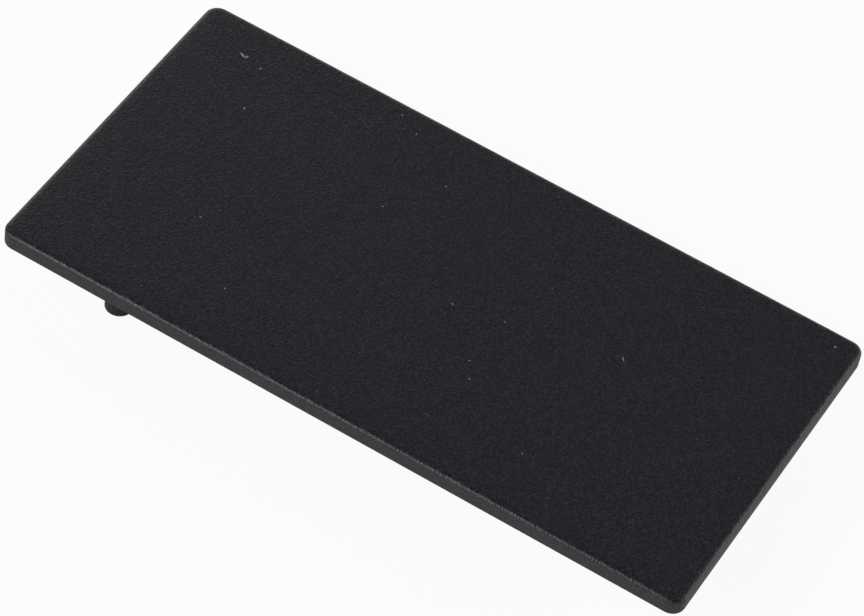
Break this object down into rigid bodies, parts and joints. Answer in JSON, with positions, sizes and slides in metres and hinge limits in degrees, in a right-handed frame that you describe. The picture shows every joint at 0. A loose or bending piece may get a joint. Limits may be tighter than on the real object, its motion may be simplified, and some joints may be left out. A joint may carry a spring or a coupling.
{
  "type": "profile end cap",
  "caption": "Flat rectangular end cap with rounded upright corners and round press-in pins on its underside, for closing the cut end of a slotted aluminium profile.",
  "frame": {"origin": "centre of the seat face, the underside of the plate that lies on the profile's end", "axes": "+X along the plate's long side, +Y along its short side, +Z out of the face that is seen in use; the pins point to -Z"},
  "size_m": [0.08, 0.04, 0.01],
  "materials": {
    "black_plastic": "matte black moulding with a fine spark-eroded grain"
  },
  "bodies": {
    "root": {"end_cap": "black_plastic"}
  },
  "joints": []
}
